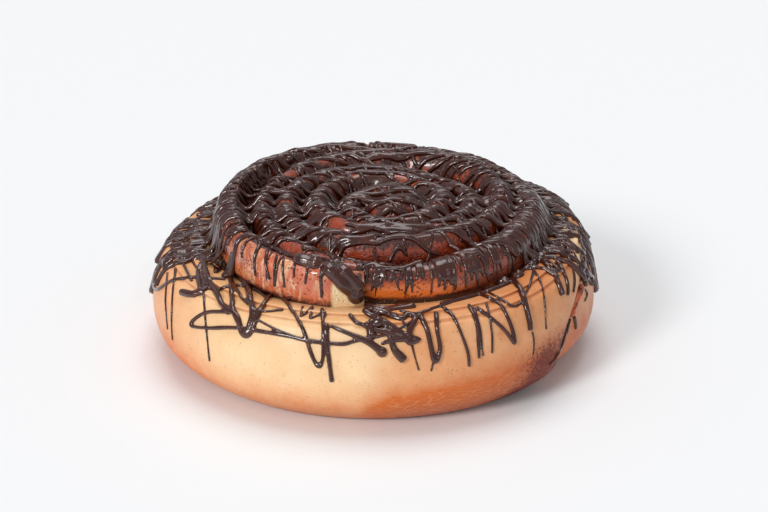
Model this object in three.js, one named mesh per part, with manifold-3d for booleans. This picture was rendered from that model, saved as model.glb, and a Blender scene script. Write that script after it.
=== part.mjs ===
// A large coiled sweet bun. A glazed inner roll of dough, wound in five turns round its heart,
// stands out of a lower and wider outer ring of plain dough that it is baked together with.
// A dark filling runs through the roll between its turns, and through the lapped seam of the
// ring. Thick strands of chocolate are drizzled over the top and hang in loops on the wall.
//
// Millimetres, +Z up. The origin is the middle of the flat base. -Y is the front, where the
// roll's outer end shows, and the ring's lapped seam is at the right, near +X.

import * as THREE from "three";
import { mergeVertices } from "three/addons/utils/BufferGeometryUtils.js";
import Module from "manifold-3d";

const BUN_DIAMETER = 210;
const RING_HEIGHT = 50;
const ROLL_HEIGHT = 71;

// Outer ring
const RING_RADIUS = BUN_DIAMETER / 2;
const RING_INNER_RADIUS = 72;
const BELLY_HEIGHT = 23;
const RING_STEPS = 48;
const SEAM_ANGLE = THREE.MathUtils.degToRad(-33);
const SEAM_STEP = 3.2;
const SEAM_FADE = THREE.MathUtils.degToRad(70);
const HIGH_SIDE_RISE = 8;
const HIGH_SIDE_ANGLE = THREE.MathUtils.degToRad(15);

// The slanting lap behind the ring's seam, which goes deeper into the ring as it goes round
const LAP_TURN = THREE.MathUtils.degToRad(40);
const LAP_MOUTH = THREE.MathUtils.degToRad(2.2);
const LAP_TRIM = 0.01;
const LAP_FLOOR = 4;
const LAP_STEPS = 9;
const LAP_START_DEPTH = 2.4;
const LAP_END_DEPTH = 14;
const LAP_CURVED_FROM = 6;
const LAP_CURVED_TO = 42;
const LAP_CURVE = 45;

// Inner roll
const ROLL_RADIUS = 81.5;
const ROLL_TURNS = 5 + 1 / 9;
const STEPS_PER_TURN = 36;
const FINE_TURNS = 2;
const ROLL_END_ANGLE = THREE.MathUtils.degToRad(-103);
const END_THICKNESS = 5;
const OUTER_THICKNESS = 13;
const INNER_THICKNESS = 12;
const TAPER_TURNS = 0.22;
const OUTER_DROP = 2;
const END_DROP = 1;
const END_DROP_TURNS = 0.1;
const FRONT_DROP = 3;
const FRONT_DROP_TURNS = [0.08, 0.25];
const BESIDE_END_DROP = 4.5;
const BESIDE_END_TURN = 0.93;
const HEART_RADIUS = 1.2;
const HEART_CLOSING = 15;
const CORE_RADIUS = 12.5;
const CORE_DROP = 8;
const CORE_SIDES = 14;
const BULGE = 2.4;
const OUTER_FACE_DEPTH = 20;
const CORE_SHIFT = new THREE.Vector2(6, -3);
const LEFT_DRAW = 9.3;
const LEFT_DRAW_ANGLE = THREE.MathUtils.degToRad(186);
const DRAWN_TURNS = [38, 78];
const DRAWN_SHELF = [83, 99];

// Filling
const FILLING_THICKNESS = 1.8;
const CLEARANCE = 0.3;
const SLIT = FILLING_THICKNESS + 2 * CLEARANCE;
const FILLING_FLOOR = 1;
const FILLING_DEPTH = 17;
const RIM_DEPTH = FILLING_DEPTH - 1;
const SEAM_FILLING_TOP = RING_HEIGHT - 5;

// Drizzle
const STRAND_WIDTH = 3.4;
const STRAND_SIDES = 3;
const STRAND_LIFT = 0.15 * STRAND_WIDTH;
const STRAND_STEP = 10;
const DRAPE_PIVOT = new THREE.Vector2(76, 22);
const DRAPE_ARM = 28;
const DRAPE_START = 95;
const DRAPE_STEP = 2;
const DRAPE_PASSES = 60;
const STRAND_SAG = 0.02;
const LOOP_COUNT = 15;
const LOOP_START = 82;
const LOOP_SHORTEST = 104;
const LOOP_LENGTHENING = 17;
const LOOP_TURN = 7;
const LOOP_HALF_ANGLE = 0.05;
const STROKE_DIRECTIONS = [0.35, 1.9];
const STROKE_FIRST = -54;
const STROKE_LAST = 56;
const STROKE_SPACING = 36;
const STROKE_SHIFT = 6;
const STROKE_BOW = 8;
const STROKE_REACH = 82;
const SEED = 7;

const TAU = 2 * Math.PI;
const { smoothstep, lerp, clamp, euclideanModulo } = THREE.MathUtils;
const wasm = await Module();
wasm.setup();

function seededRandom(seed) {
  let state = seed;
  return () => {
    state = (state * 1664525 + 1013904223) % 4294967296;
    return state / 4294967296;
  };
}

// 1 at the middle of a bell of this half width, and near 0 two widths away.
function bell(x, middle, width) {
  return Math.exp(-(((x - middle) / width) ** 2));
}

// The angle past a start, going clockwise seen from above, from 0 to a full turn.
function clockwiseFrom(start, angle) {
  return euclideanModulo(start - angle, TAU);
}

// How far the roll's outer turns, and the shelf beside them, lie in at the left.
function leftDraw(radius, angle) {
  const left = Math.max(0, Math.cos(angle - LEFT_DRAW_ANGLE)) ** 3;
  const inOuterTurns = smoothstep(radius, ...DRAWN_TURNS);
  const onRingWall = smoothstep(radius, ...DRAWN_SHELF);
  return LEFT_DRAW * left * inOuterTurns * (1 - onRingWall);
}

// The roll's heart lies off the middle: all inside the ring is drawn towards it.
function placed(radius, angle, height) {
  const pull = Math.max(0, 1 - (radius / ROLL_RADIUS) ** 2);
  const drawn = radius - leftDraw(radius, angle);
  return new THREE.Vector3(
    drawn * Math.cos(angle) + pull * CORE_SHIFT.x,
    drawn * Math.sin(angle) + pull * CORE_SHIFT.y,
    height,
  );
}

// A surface through closed outlines of [radius, height] that follow each other clockwise,
// joined end to end if it is closed, and capped at both ends if not.
function loft(outlines, angles, closed) {
  const points = outlines.flatMap((outline, i) =>
    outline.map(([radius, height]) => placed(radius, angles[i], height)),
  );
  const count = outlines[0].length;
  const faces = [];
  const spans = closed ? outlines.length : outlines.length - 1;
  for (let i = 0; i < spans; i++) {
    const near = i * count;
    const far = ((i + 1) % outlines.length) * count;
    for (let j = 0; j < count; j++) {
      const next = (j + 1) % count;
      faces.push(near + j, near + next, far + next);
      faces.push(near + j, far + next, far + j);
    }
  }
  if (!closed) {
    const end = (outlines.length - 1) * count;
    const trianglesOf = (outline) =>
      THREE.ShapeUtils.triangulateShape(
        outline.map(([x, y]) => new THREE.Vector2(x, y)),
        [],
      );
    trianglesOf(outlines[0]).forEach(([a, b, c]) => faces.push(a, c, b));
    trianglesOf(outlines.at(-1)).forEach(([a, b, c]) =>
      faces.push(end + a, end + b, end + c),
    );
  }
  return new THREE.BufferGeometry().setFromPoints(points).setIndex(faces);
}

function solidOf(geometry) {
  const bare = geometry.clone();
  bare.deleteAttribute("normal");
  bare.deleteAttribute("uv");
  const merged = mergeVertices(bare, 1e-4);
  return new wasm.Manifold(
    new wasm.Mesh({
      numProp: 3,
      vertProperties: new Float32Array(merged.attributes.position.array),
      triVerts: new Uint32Array(merged.index.array),
    }),
  );
}

function geometryOf(made) {
  const mesh = made.getMesh();
  return new THREE.BufferGeometry()
    .setAttribute(
      "position",
      new THREE.BufferAttribute(mesh.vertProperties, 3),
    )
    .setIndex(new THREE.BufferAttribute(mesh.triVerts, 1));
}

// Outer ring

// Behind the seam the ring steps in under the lapped end, and grows back further round.
function ringRadius(angle) {
  const behind = TAU - clockwiseFrom(SEAM_ANGLE, angle);
  const step = SEAM_STEP * Math.max(0, 1 - behind / SEAM_FADE) ** 2;
  const wobble = 0.5 * Math.sin(2 * angle + 0.6) + 0.3 * Math.sin(5 * angle);
  return RING_RADIUS - 0.8 + wobble - step;
}

// The ring has risen more on one side, at the right and back.
function ringRise(angle) {
  return HIGH_SIDE_RISE * Math.max(0, Math.cos(angle - HIGH_SIDE_ANGLE)) ** 3;
}

function ringTop(angle) {
  const wobble = Math.sin(angle + 2.4) + 0.5 * Math.sin(3 * angle);
  return RING_HEIGHT + wobble + ringRise(angle);
}

// The ring reaches into the roll's outermost turn, and stays out of the slit behind it.
function ringInnerRadius(angle) {
  const turn = clockwiseFrom(ROLL_END_ANGLE, angle) / TAU;
  return Math.max(RING_INNER_RADIUS, rollInner(turn) + 1.5);
}

// Out from the base, up the belly to the shoulder, and in up two shallow steps to the roll.
function ringOutline(angle) {
  const r = ringRadius(angle);
  const top = ringTop(angle);
  const inner = ringInnerRadius(angle);
  return [
    [inner, 0],
    [r - 18, 0],
    [r - 10, 3.4],
    [r - 2, 12.5],
    [r, BELLY_HEIGHT],
    [r - 1.8, 34 + ringRise(angle)],
    [r - 6, top - 6],
    [r - 9, top - 3.4],
    [r - 9.6, top - 2.2],
    [r - 13.6, top - 1.4],
    [r - 14.2, top - 0.2],
    [r - 20, top - 0.8],
    [inner, top - 1.5],
  ];
}

function ringGeometry() {
  const edge = 0.004;
  const past = Array.from(
    { length: RING_STEPS },
    (_, i) => edge + (i / (RING_STEPS - 1)) * (TAU - 2 * edge),
  );
  const rollEnd = clockwiseFrom(SEAM_ANGLE, ROLL_END_ANGLE);
  const angles = [...past, rollEnd - edge, rollEnd + edge]
    .sort((a, b) => a - b)
    .map((turned) => SEAM_ANGLE - turned);
  return loft(angles.map(ringOutline), angles, true);
}

// How far the lap leans in at a height: least at the belly, and straight near base and crest.
function lapLean(height) {
  const curved = clamp(height, LAP_CURVED_FROM, LAP_CURVED_TO) - BELLY_HEIGHT;
  const slope = (2 * curved) / LAP_CURVE;
  return curved ** 2 / LAP_CURVE + slope * (height - BELLY_HEIGHT - curved);
}

// A sheet that lies in the ring's lap, as far in from its wall as the lap is deep there.
function lapGeometry(thickness, inset, floor, top, trim) {
  const heights = [
    floor,
    LAP_CURVED_FROM,
    lerp(LAP_CURVED_FROM, BELLY_HEIGHT, 0.5),
    BELLY_HEIGHT,
    lerp(BELLY_HEIGHT, LAP_CURVED_TO, 0.5),
    LAP_CURVED_TO,
    top,
  ];
  const outlines = [];
  const angles = [];
  for (let i = 0; i <= LAP_STEPS; i++) {
    const turned = lerp(trim - LAP_MOUTH, LAP_TURN - trim, i / LAP_STEPS);
    const along = (turned + LAP_MOUTH) / (LAP_TURN + LAP_MOUTH);
    const depth = lerp(LAP_START_DEPTH, LAP_END_DEPTH, along) + inset;
    const outside = heights.map((height) => [
      RING_RADIUS - 0.8 - depth - lapLean(height),
      height,
    ]);
    const inside = outside.map(([radius, height]) => [
      radius - thickness,
      height,
    ]);
    outlines.push([...outside, ...inside.reverse()]);
    angles.push(SEAM_ANGLE - turned);
  }
  return loft(outlines, angles, false);
}

// Inner roll, described by how many turns a place on it is from its outer end

function doughThickness(turn) {
  const full = turn < 1 ? OUTER_THICKNESS : INNER_THICKNESS;
  const end = END_THICKNESS * Math.max(0, 1 - turn / TAPER_TURNS);
  const rise = full * Math.min(1, turn / TAPER_TURNS);
  return end + rise + 0.5 * Math.sin(9 * turn) * Math.min(1, turn);
}

// Radius of the strip's outward face. Each turn lies inside the one before it.
function rollOuter(turn) {
  if (turn > 1)
    return rollOuter(turn - 1) - doughThickness(turn - 1) - SLIT;
  return ROLL_RADIUS - (END_THICKNESS + SLIT) * turn ** 1.5;
}

function rollInner(turn) {
  if (turn + 1 <= ROLL_TURNS) return rollOuter(turn + 1) + SLIT;
  const closing =
    HEART_CLOSING * smoothstep(turn, ROLL_TURNS - 1, ROLL_TURNS - 0.8);
  return Math.max(
    HEART_RADIUS,
    rollOuter(turn) - INNER_THICKNESS - closing,
  );
}

function rollTop(turn) {
  const drop = OUTER_DROP * (1 - smoothstep(turn, 0.3, 1.7));
  const endDrop = END_DROP * Math.max(0, 1 - turn / END_DROP_TURNS);
  const frontDrop = FRONT_DROP * (1 - smoothstep(turn, ...FRONT_DROP_TURNS));
  const besideEnd = BESIDE_END_DROP * bell(turn, BESIDE_END_TURN, 0.1);
  const wobble = 1.2 * Math.sin(4.1 * turn + 1) + 0.6 * Math.sin(17 * turn);
  return ROLL_HEIGHT - drop - endDrop - frontDrop - besideEnd + wobble;
}

// How far a turn's top leans outwards. Two stretches of the roll gape where turns lean apart.
function topLean(turn) {
  return (
    0.8 * bell(turn, 0.36, 0.12) -
    3.8 * bell(turn, 1.34, 0.11) +
    1.4 * bell(turn, 2.66, 0.1) -
    2.4 * bell(turn, 3.66, 0.14)
  );
}

function rollOutline(turn) {
  const outer = rollOuter(turn);
  const inner = rollInner(turn);
  const wide = outer - inner;
  const top = rollTop(turn);
  const lean = topLean(turn);
  const bulge = turn < 1 ? BULGE : 0;
  return [
    [inner, 0],
    [outer, 0],
    [outer, top - (turn < 1 ? OUTER_FACE_DEPTH : RIM_DEPTH)],
    [outer + bulge + 0.6 * lean, top - 11],
    [outer + 0.3 * bulge - 0.1 * wide + lean, top - 4],
    [outer - 0.4 * wide + lean, top],
    [outer - 0.72 * wide + lean, top - 1],
    [inner + 0.08 * wide + 0.8 * lean, top - 6],
    [inner, top - RIM_DEPTH],
  ];
}

// Places along the strip: every one of the fine steps in the wide outer turns, and every other
// one further in. Turns that face each other so have their corners at the same angles.
function turnsBetween(from, to) {
  const turns = [from];
  const first = Math.floor(from * STEPS_PER_TURN) + 1;
  for (let step = first; step / STEPS_PER_TURN < to - 1e-6; step++) {
    const turn = step / STEPS_PER_TURN;
    if (turn < FINE_TURNS || step % 2 === 0) turns.push(turn);
  }
  return [...turns, to];
}

function rollAngle(turn) {
  return ROLL_END_ANGLE - turn * TAU;
}

function rollGeometry() {
  const turns = turnsBetween(0, ROLL_TURNS);
  return loft(turns.map(rollOutline), turns.map(rollAngle), false);
}

// A round core that closes the roll's heart, a little below the turn around it.
function heartGeometry() {
  const outline = [
    [0, 0],
    [CORE_RADIUS, 0],
    [CORE_RADIUS, ROLL_HEIGHT - CORE_DROP - 0.96 * CORE_RADIUS],
    [0.6 * CORE_RADIUS, ROLL_HEIGHT - CORE_DROP - 2],
    [0, ROLL_HEIGHT - CORE_DROP],
  ];
  return new THREE.LatheGeometry(
    outline.map(([radius, height]) => new THREE.Vector2(radius, height)),
    CORE_SIDES,
  )
    .rotateX(Math.PI / 2)
    .translate(CORE_SHIFT.x, CORE_SHIFT.y, 0);
}

function fillingTop(turn) {
  return Math.min(rollTop(turn), rollTop(turn - 1)) - FILLING_DEPTH;
}

// A sheet wound against the outward face of every turn but the outermost one.
function swirlGeometry(thickness, inset, floor, rise) {
  const turns = turnsBetween(1.004, ROLL_TURNS - 0.004);
  const outlines = turns.map((turn) => {
    const near = rollOuter(turn) + inset;
    const far = near + thickness;
    const top = fillingTop(turn) + rise;
    return [
      [near, floor],
      [far, floor],
      [far, top],
      [near, top],
    ];
  });
  return loft(outlines, turns.map(rollAngle), false);
}

// Drizzle

// A strand is planned on a flat map: reach is the way out from the middle, first over the top
// and then, past the pivot, round the shoulder and down the wall.
function aimAt(reach, angle) {
  const past = (reach - DRAPE_PIVOT.x) / DRAPE_ARM;
  const tilt = clamp(past, 0, Math.PI / 2);
  const below = Math.max(0, past - Math.PI / 2) * DRAPE_ARM;
  const radius = Math.min(reach, DRAPE_PIVOT.x);
  const outward = new THREE.Vector3(
    Math.sin(tilt) * Math.cos(angle),
    Math.sin(tilt) * Math.sin(angle),
    Math.cos(tilt),
  );
  const pivot = new THREE.Vector3(
    radius * Math.cos(angle),
    radius * Math.sin(angle),
    DRAPE_PIVOT.y - below,
  );
  return { pivot, outward };
}

// Lays points of the flat map on the dough. Each pass lifts the strand off the hollows that it
// is too stiff to follow.
function drape(mapPoints, targets) {
  const caster = new THREE.Raycaster();
  const aims = mapPoints.map((p) => aimAt(p.length(), Math.atan2(p.y, p.x)));
  const dough = aims.map(({ pivot, outward }) => {
    const start = pivot.clone().addScaledVector(outward, DRAPE_START);
    caster.set(start, outward.clone().negate());
    const hit = caster.intersectObjects(targets)[0];
    return hit ? DRAPE_START - hit.distance : 0;
  });
  let rise = [...dough];
  for (let pass = 0; pass < DRAPE_PASSES; pass++)
    rise = rise.map((height, i) =>
      i > 0 && i < rise.length - 1
        ? Math.max(dough[i], (rise[i - 1] + rise[i + 1]) / 2 - STRAND_SAG)
        : height,
    );
  return aims.map(({ pivot, outward }, i) =>
    pivot.clone().addScaledVector(outward, rise[i] + STRAND_LIFT),
  );
}

function strand(mapCorners, width, targets) {
  const plan = new THREE.CatmullRomCurve3(
    mapCorners.map(([x, y]) => new THREE.Vector3(x, y, 0)),
  );
  const samples = Math.ceil(plan.getLength() / DRAPE_STEP);
  const route = new THREE.CatmullRomCurve3(
    drape(plan.getSpacedPoints(samples), targets),
  );
  const section = new THREE.Shape(
    Array.from({ length: STRAND_SIDES }, (_, i) => {
      const a = (i * TAU) / STRAND_SIDES;
      return new THREE.Vector2(
        (width / 2) * Math.cos(a),
        (width / 2) * Math.sin(a),
      );
    }),
  );
  return solidOf(
    new THREE.ExtrudeGeometry(section, {
      steps: Math.round(route.getLength() / STRAND_STEP),
      bevelEnabled: false,
      extrudePath: route,
    }),
  );
}

function onMap(reach, angle) {
  return [reach * Math.cos(angle), reach * Math.sin(angle)];
}

// Loops that come out over the crest, turn back on the ring's wall and go in again.
function loopPlans(random) {
  return Array.from({ length: LOOP_COUNT }, (_, i) => {
    const middle = ((i + 0.6 * random()) / LOOP_COUNT) * TAU;
    const half = LOOP_HALF_ANGLE * (1 + random());
    const lowest = LOOP_SHORTEST + LOOP_LENGTHENING * random() ** 1.5;
    return {
      width: STRAND_WIDTH * (0.8 + 0.3 * random()),
      corners: [
        onMap(LOOP_START, middle - half),
        onMap(lowest - LOOP_TURN, middle - 0.4 * half),
        onMap(lowest, middle),
        onMap(lowest - LOOP_TURN, middle + 0.45 * half),
        onMap(LOOP_START + 4, middle + 1.2 * half),
      ],
    };
  });
}

// Rows of strokes right across the top, in two directions, slightly bowed.
function strokePlans(random) {
  const plans = [];
  for (const direction of STROKE_DIRECTIONS) {
    for (let row = STROKE_FIRST; row <= STROKE_LAST; row += STROKE_SPACING) {
      const place = row + STROKE_SHIFT * (random() - 0.5);
      const half = Math.sqrt(Math.max(0, STROKE_REACH ** 2 - place ** 2));
      const bow = STROKE_BOW * (random() - 0.5);
      const corner = (along, aside) => [
        along * Math.cos(direction) - aside * Math.sin(direction),
        along * Math.sin(direction) + aside * Math.cos(direction),
      ];
      plans.push({
        width: STRAND_WIDTH,
        corners: [
          corner(-half, place),
          corner(-half / 3, place + bow),
          corner(half / 3, place - bow),
          corner(half, place),
        ],
      });
    }
  }
  return plans;
}

function largestPiece(made) {
  return made
    .decompose()
    .reduce((best, piece) => (piece.volume() > best.volume() ? piece : best));
}

function bunGeometry() {
  const ring = ringGeometry();
  const roll = rollGeometry();
  const lap = lapGeometry(SLIT, 0, -1, RING_HEIGHT + 6, 0);
  const keepOut = swirlGeometry(SLIT, 0, -1, 2);
  const targets = [ring, roll, keepOut].map(
    (geometry) =>
      new THREE.Mesh(
        geometry,
        new THREE.MeshBasicMaterial({ side: THREE.DoubleSide }),
      ),
  );
  const random = seededRandom(SEED);
  const strands = [...loopPlans(random), ...strokePlans(random)].map(
    ({ corners, width }) => strand(corners, width, targets),
  );
  const dough = solidOf(ring)
    .subtract(solidOf(lap))
    .add(solidOf(roll))
    .add(solidOf(heartGeometry()));
  return geometryOf(largestPiece(wasm.Manifold.union([dough, ...strands])));
}

function named(name, geometry, colour, roughness) {
  const mesh = new THREE.Mesh(
    geometry,
    new THREE.MeshStandardMaterial({ color: colour, roughness, metalness: 0 }),
  );
  mesh.name = name;
  return mesh;
}

const bun = new THREE.Group();
bun.add(named("coiled_dough", bunGeometry(), 0xd99a5c, 0.5));
bun.add(
  named(
    "swirl_filling",
    swirlGeometry(FILLING_THICKNESS, CLEARANCE, FILLING_FLOOR, 0),
    0x4a2214,
    0.45,
  ),
);
bun.add(
  named(
    "seam_filling",
    lapGeometry(
      FILLING_THICKNESS,
      CLEARANCE,
      LAP_FLOOR,
      SEAM_FILLING_TOP,
      LAP_TRIM,
    ),
    0x8a421c,
    0.45,
  ),
);

export default bun;
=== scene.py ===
"""The looks of a large coiled sweet bun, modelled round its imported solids.

A glazed roll of dough stands out of a lower outer ring, and chocolate is drizzled over both.
Metres, +Z up, the base on z = 0, and -Y to the front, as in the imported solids.
"""

import math
import random

import bmesh
import bpy
from bpy.props import FloatProperty, FloatVectorProperty, IntProperty, PointerProperty
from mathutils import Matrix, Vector, noise
from mathutils.bvhtree import BVHTree


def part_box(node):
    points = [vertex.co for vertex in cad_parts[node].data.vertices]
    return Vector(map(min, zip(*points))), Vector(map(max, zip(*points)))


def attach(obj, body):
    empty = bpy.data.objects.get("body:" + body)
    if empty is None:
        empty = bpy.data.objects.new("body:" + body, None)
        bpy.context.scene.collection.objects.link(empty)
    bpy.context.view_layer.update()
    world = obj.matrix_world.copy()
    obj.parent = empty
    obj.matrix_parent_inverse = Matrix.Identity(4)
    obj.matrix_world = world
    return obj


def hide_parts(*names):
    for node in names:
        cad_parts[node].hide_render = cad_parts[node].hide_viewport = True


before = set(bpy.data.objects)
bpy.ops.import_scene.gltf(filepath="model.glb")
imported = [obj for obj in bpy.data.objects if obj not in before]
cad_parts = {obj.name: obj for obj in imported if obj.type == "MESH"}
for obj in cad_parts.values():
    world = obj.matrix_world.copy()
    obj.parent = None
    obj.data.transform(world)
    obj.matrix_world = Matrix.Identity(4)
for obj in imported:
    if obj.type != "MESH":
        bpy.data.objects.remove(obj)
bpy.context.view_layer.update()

bl_info = {
    "name": "Coiled Sweet Bun",
    "version": (1, 0, 0),
    "blender": (4, 5, 0),
    "location": "View3D > Sidebar > Bun",
    "description": "Models a coiled sweet bun with chocolate drizzle round its packed solids",
    "category": "Object",
}

MM = 0.001
TAU = 2 * math.pi
PICTURE_WIDE, PICTURE_HIGH = 768, 512
UP = Vector((0, 0, 1))
DOUGH_LOW, DOUGH_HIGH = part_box("coiled_dough")


def smooth(value, low, high):
    """0 below low, 1 above high, and a soft step between."""
    share = min(1, max(0, (value - low) / (high - low)))
    return share * share * (3 - 2 * share)


def mix(first, second, share):
    return first + (second - first) * share


def bell(value, middle, width):
    """1 at the middle, and near 0 two widths away."""
    return math.exp(-(((value - middle) / width) ** 2))


def lumps(point, size, seed=0):
    """Smooth noise from -1 to 1, with lumps of this size."""
    return noise.noise(point / size + Vector((seed * 17.3, seed * 5.1, seed * 9.7)))


def around(angle, radius=1.0):
    """The level point at an angle and radius."""
    return Vector((radius * math.cos(angle), radius * math.sin(angle)))


def curve_point(points, place):
    """The point at place, counted in whole points, on a smooth curve through all the points."""
    last = len(points) - 1
    start = min(int(place), last - 1)
    t = place - start
    a, b, c, d = (points[min(last, max(0, start + step))] for step in (-1, 0, 1, 2))
    return (
        b * 2 + (c - a) * t + (a * 2 - b * 5 + c * 4 - d) * t**2 + (b * 3 - a - c * 3 + d) * t**3
    ) * 0.5


def curve_points(points, step):
    """Points about a step apart on a smooth curve through the given ones."""
    found = []
    for start, (a, b) in enumerate(zip(points, points[1:])):
        pieces = max(1, round((b - a).length / step))
        found += [curve_point(points, start + i / pieces) for i in range(pieces)]
    return found + [points[-1]]


# Settings that a user would change


def length(name, description, millimetres):
    default = millimetres * MM
    return FloatProperty(name=name, description=description, default=default, unit="LENGTH")


def turn_by(name, description, degrees):
    default = math.radians(degrees)
    return FloatProperty(name=name, description=description, default=default, subtype="ANGLE")


def colour(name, description, screen_colour):
    """A colour given as a screen shows it, from 0 to 255, which materials take as linear numbers."""
    default = tuple((channel / 255) ** 2.2 for channel in screen_colour)
    return FloatVectorProperty(
        name=name, description=description, default=default, subtype="COLOR", size=3, min=0, max=1
    )


class RingSizes(bpy.types.PropertyGroup):
    radius: length("Radius", "From the middle to the belly", (DOUGH_HIGH.y - DOUGH_LOW.y) / 2 / MM)
    height: length("Height", "Height of the shelf that the roll stands out of", 50)
    belly: length("Belly", "Height at which the ring is widest", 23)
    inner_radius: length("Inner radius", "Where the ring ends inside the roll", 72)
    high_side: length("High side", "How much more the ring has risen at the right and back", 8)
    high_angle: turn_by("High angle", "Where the ring has risen most", 15)
    seam_angle: turn_by("Seam angle", "Where the ring's lapped seam meets the base", -39.5)
    seam_lean: turn_by("Seam lean", "How far the seam slants round on its way to the shelf", 35)
    seam_step: length("Seam step", "How far the ring steps in behind the seam", 3.2)
    lap: turn_by("Lap", "How far the ring goes on under its lapped end", 38)
    lap_start: length("Lap start", "Dough over the lap at the seam", 2.4)
    lap_end: length("Lap end", "Dough over the lap at its far end", 14)
    lap_gap: length("Lap gap", "Space for the filling in the lap", 2.4)


class RollSizes(bpy.types.PropertyGroup):
    radius: length("Radius", "Outward face of the outermost turn", 81.5)
    height: length("Height", "Crest of the inner turns", 71)
    turns: FloatProperty(name="Turns", description="Turns of the roll", default=5 + 1 / 9)
    end_angle: turn_by("End angle", "Where the roll's outer end is", -103)
    end_thickness: length("End thickness", "Dough at the roll's outer end", 5)
    outer_thickness: length("Outer thickness", "Dough of the outermost turn", 13)
    inner_thickness: length("Inner thickness", "Dough of the turns inside it", 12)
    slit: length("Slit", "Space between two turns, which the filling is in", 2.4)
    crown: length("Crown", "Height of a turn's round top", 14)
    left_draw: length("Left draw", "How far the outer turns lie in at the left", 9.3)
    left_angle: turn_by("Left angle", "Where they lie in most", 186)
    front_drop: length("Front drop", "How much lower the outermost turn is at the front", 3)
    beside_end_drop: length("Drop beside the end", "The same, right of its end", 4.5)
    shift: FloatVectorProperty(
        name="Shift",
        description="How far the heart lies off the middle",
        default=(6 * MM, -3 * MM),
        size=2,
        unit="LENGTH",
    )


class DrizzleSizes(bpy.types.PropertyGroup):
    width: length("Strand width", "Usual width of a strand", 2.5)
    sample: length("Sample", "Space between the points of a strand", 1.2)
    grain: length("Grain", "Size of the cells that crossing strands melt together in", 0.62)
    pivot_radius: length("Pivot radius", "Reach at which strands begin to bend down", 76)
    pivot_height: length("Pivot height", "Height that they bend round", 22)
    arm: length("Arm", "Reach of the bend round the shoulder", 28)
    seed: IntProperty(name="Seed", description="Start of the random draws", default=11)


class BunColours(bpy.types.PropertyGroup):
    pale: colour("Pale crust", "Crust above the belly", (249, 211, 164))
    golden: colour("Golden crust", "Crust of the shelf", (232, 172, 116))
    toasted: colour("Toasted crust", "Crust below the belly", (218, 111, 42))
    # The brown tone is also the painted shade in the shelf's creases.
    brown: colour("Brown crust", "Crust at the right and along the base", (172, 88, 56))
    dark: colour("Dark crust", "Stain beside the seam", (106, 32, 18))
    glaze: colour("Glaze", "Glazed dough of the roll", (160, 64, 30))
    amber: colour("Amber glaze", "Glaze low on the roll's outward face", (228, 116, 42))
    # The deep glaze also paints the shade in the roll's valleys, at the foot of its outermost face
    # and where turns gape.
    deep_glaze_and_shade: colour("Deep glaze", "Glaze in the valleys", (78, 24, 18))
    coral: colour("Coral glaze", "Glaze on the roll's front, left of its end", (204, 104, 72))
    # The crumb tone also paints the cream streaks on the coral front, partly as painted highlight.
    crumb: colour("Crumb", "Torn dough", (255, 226, 178))
    chocolate: colour("Chocolate", "Drizzle", (61, 27, 18))
    # The filling's tone is also the deepest painted shade in the roll's valleys.
    filling: colour("Filling", "Filling between the turns", (40, 16, 12))
    caramel: colour("Caramel", "Filling in the ring's seam", (204, 92, 30))


class StageSettings(bpy.types.PropertyGroup):
    elevation: turn_by("Elevation", "How far the camera looks down", 25)
    distance: length("Distance", "From the camera to the bun", 900)
    pixels_per_mm: FloatProperty(
        name="Pixels per millimetre", description="Scale at the bun's middle", default=2.08
    )
    middle: FloatVectorProperty(
        name="Middle", description="Pixel of the base's middle", default=(374, 333), size=2
    )


GROUPS = {
    "bun_ring": RingSizes,
    "bun_roll": RollSizes,
    "bun_drizzle": DrizzleSizes,
    "bun_colours": BunColours,
    "bun_stage": StageSettings,
}

# Strands on the front: the width in pixels at the start and at the end of each, and then the
# pixels of the 768 by 512 picture that it passes through

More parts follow.
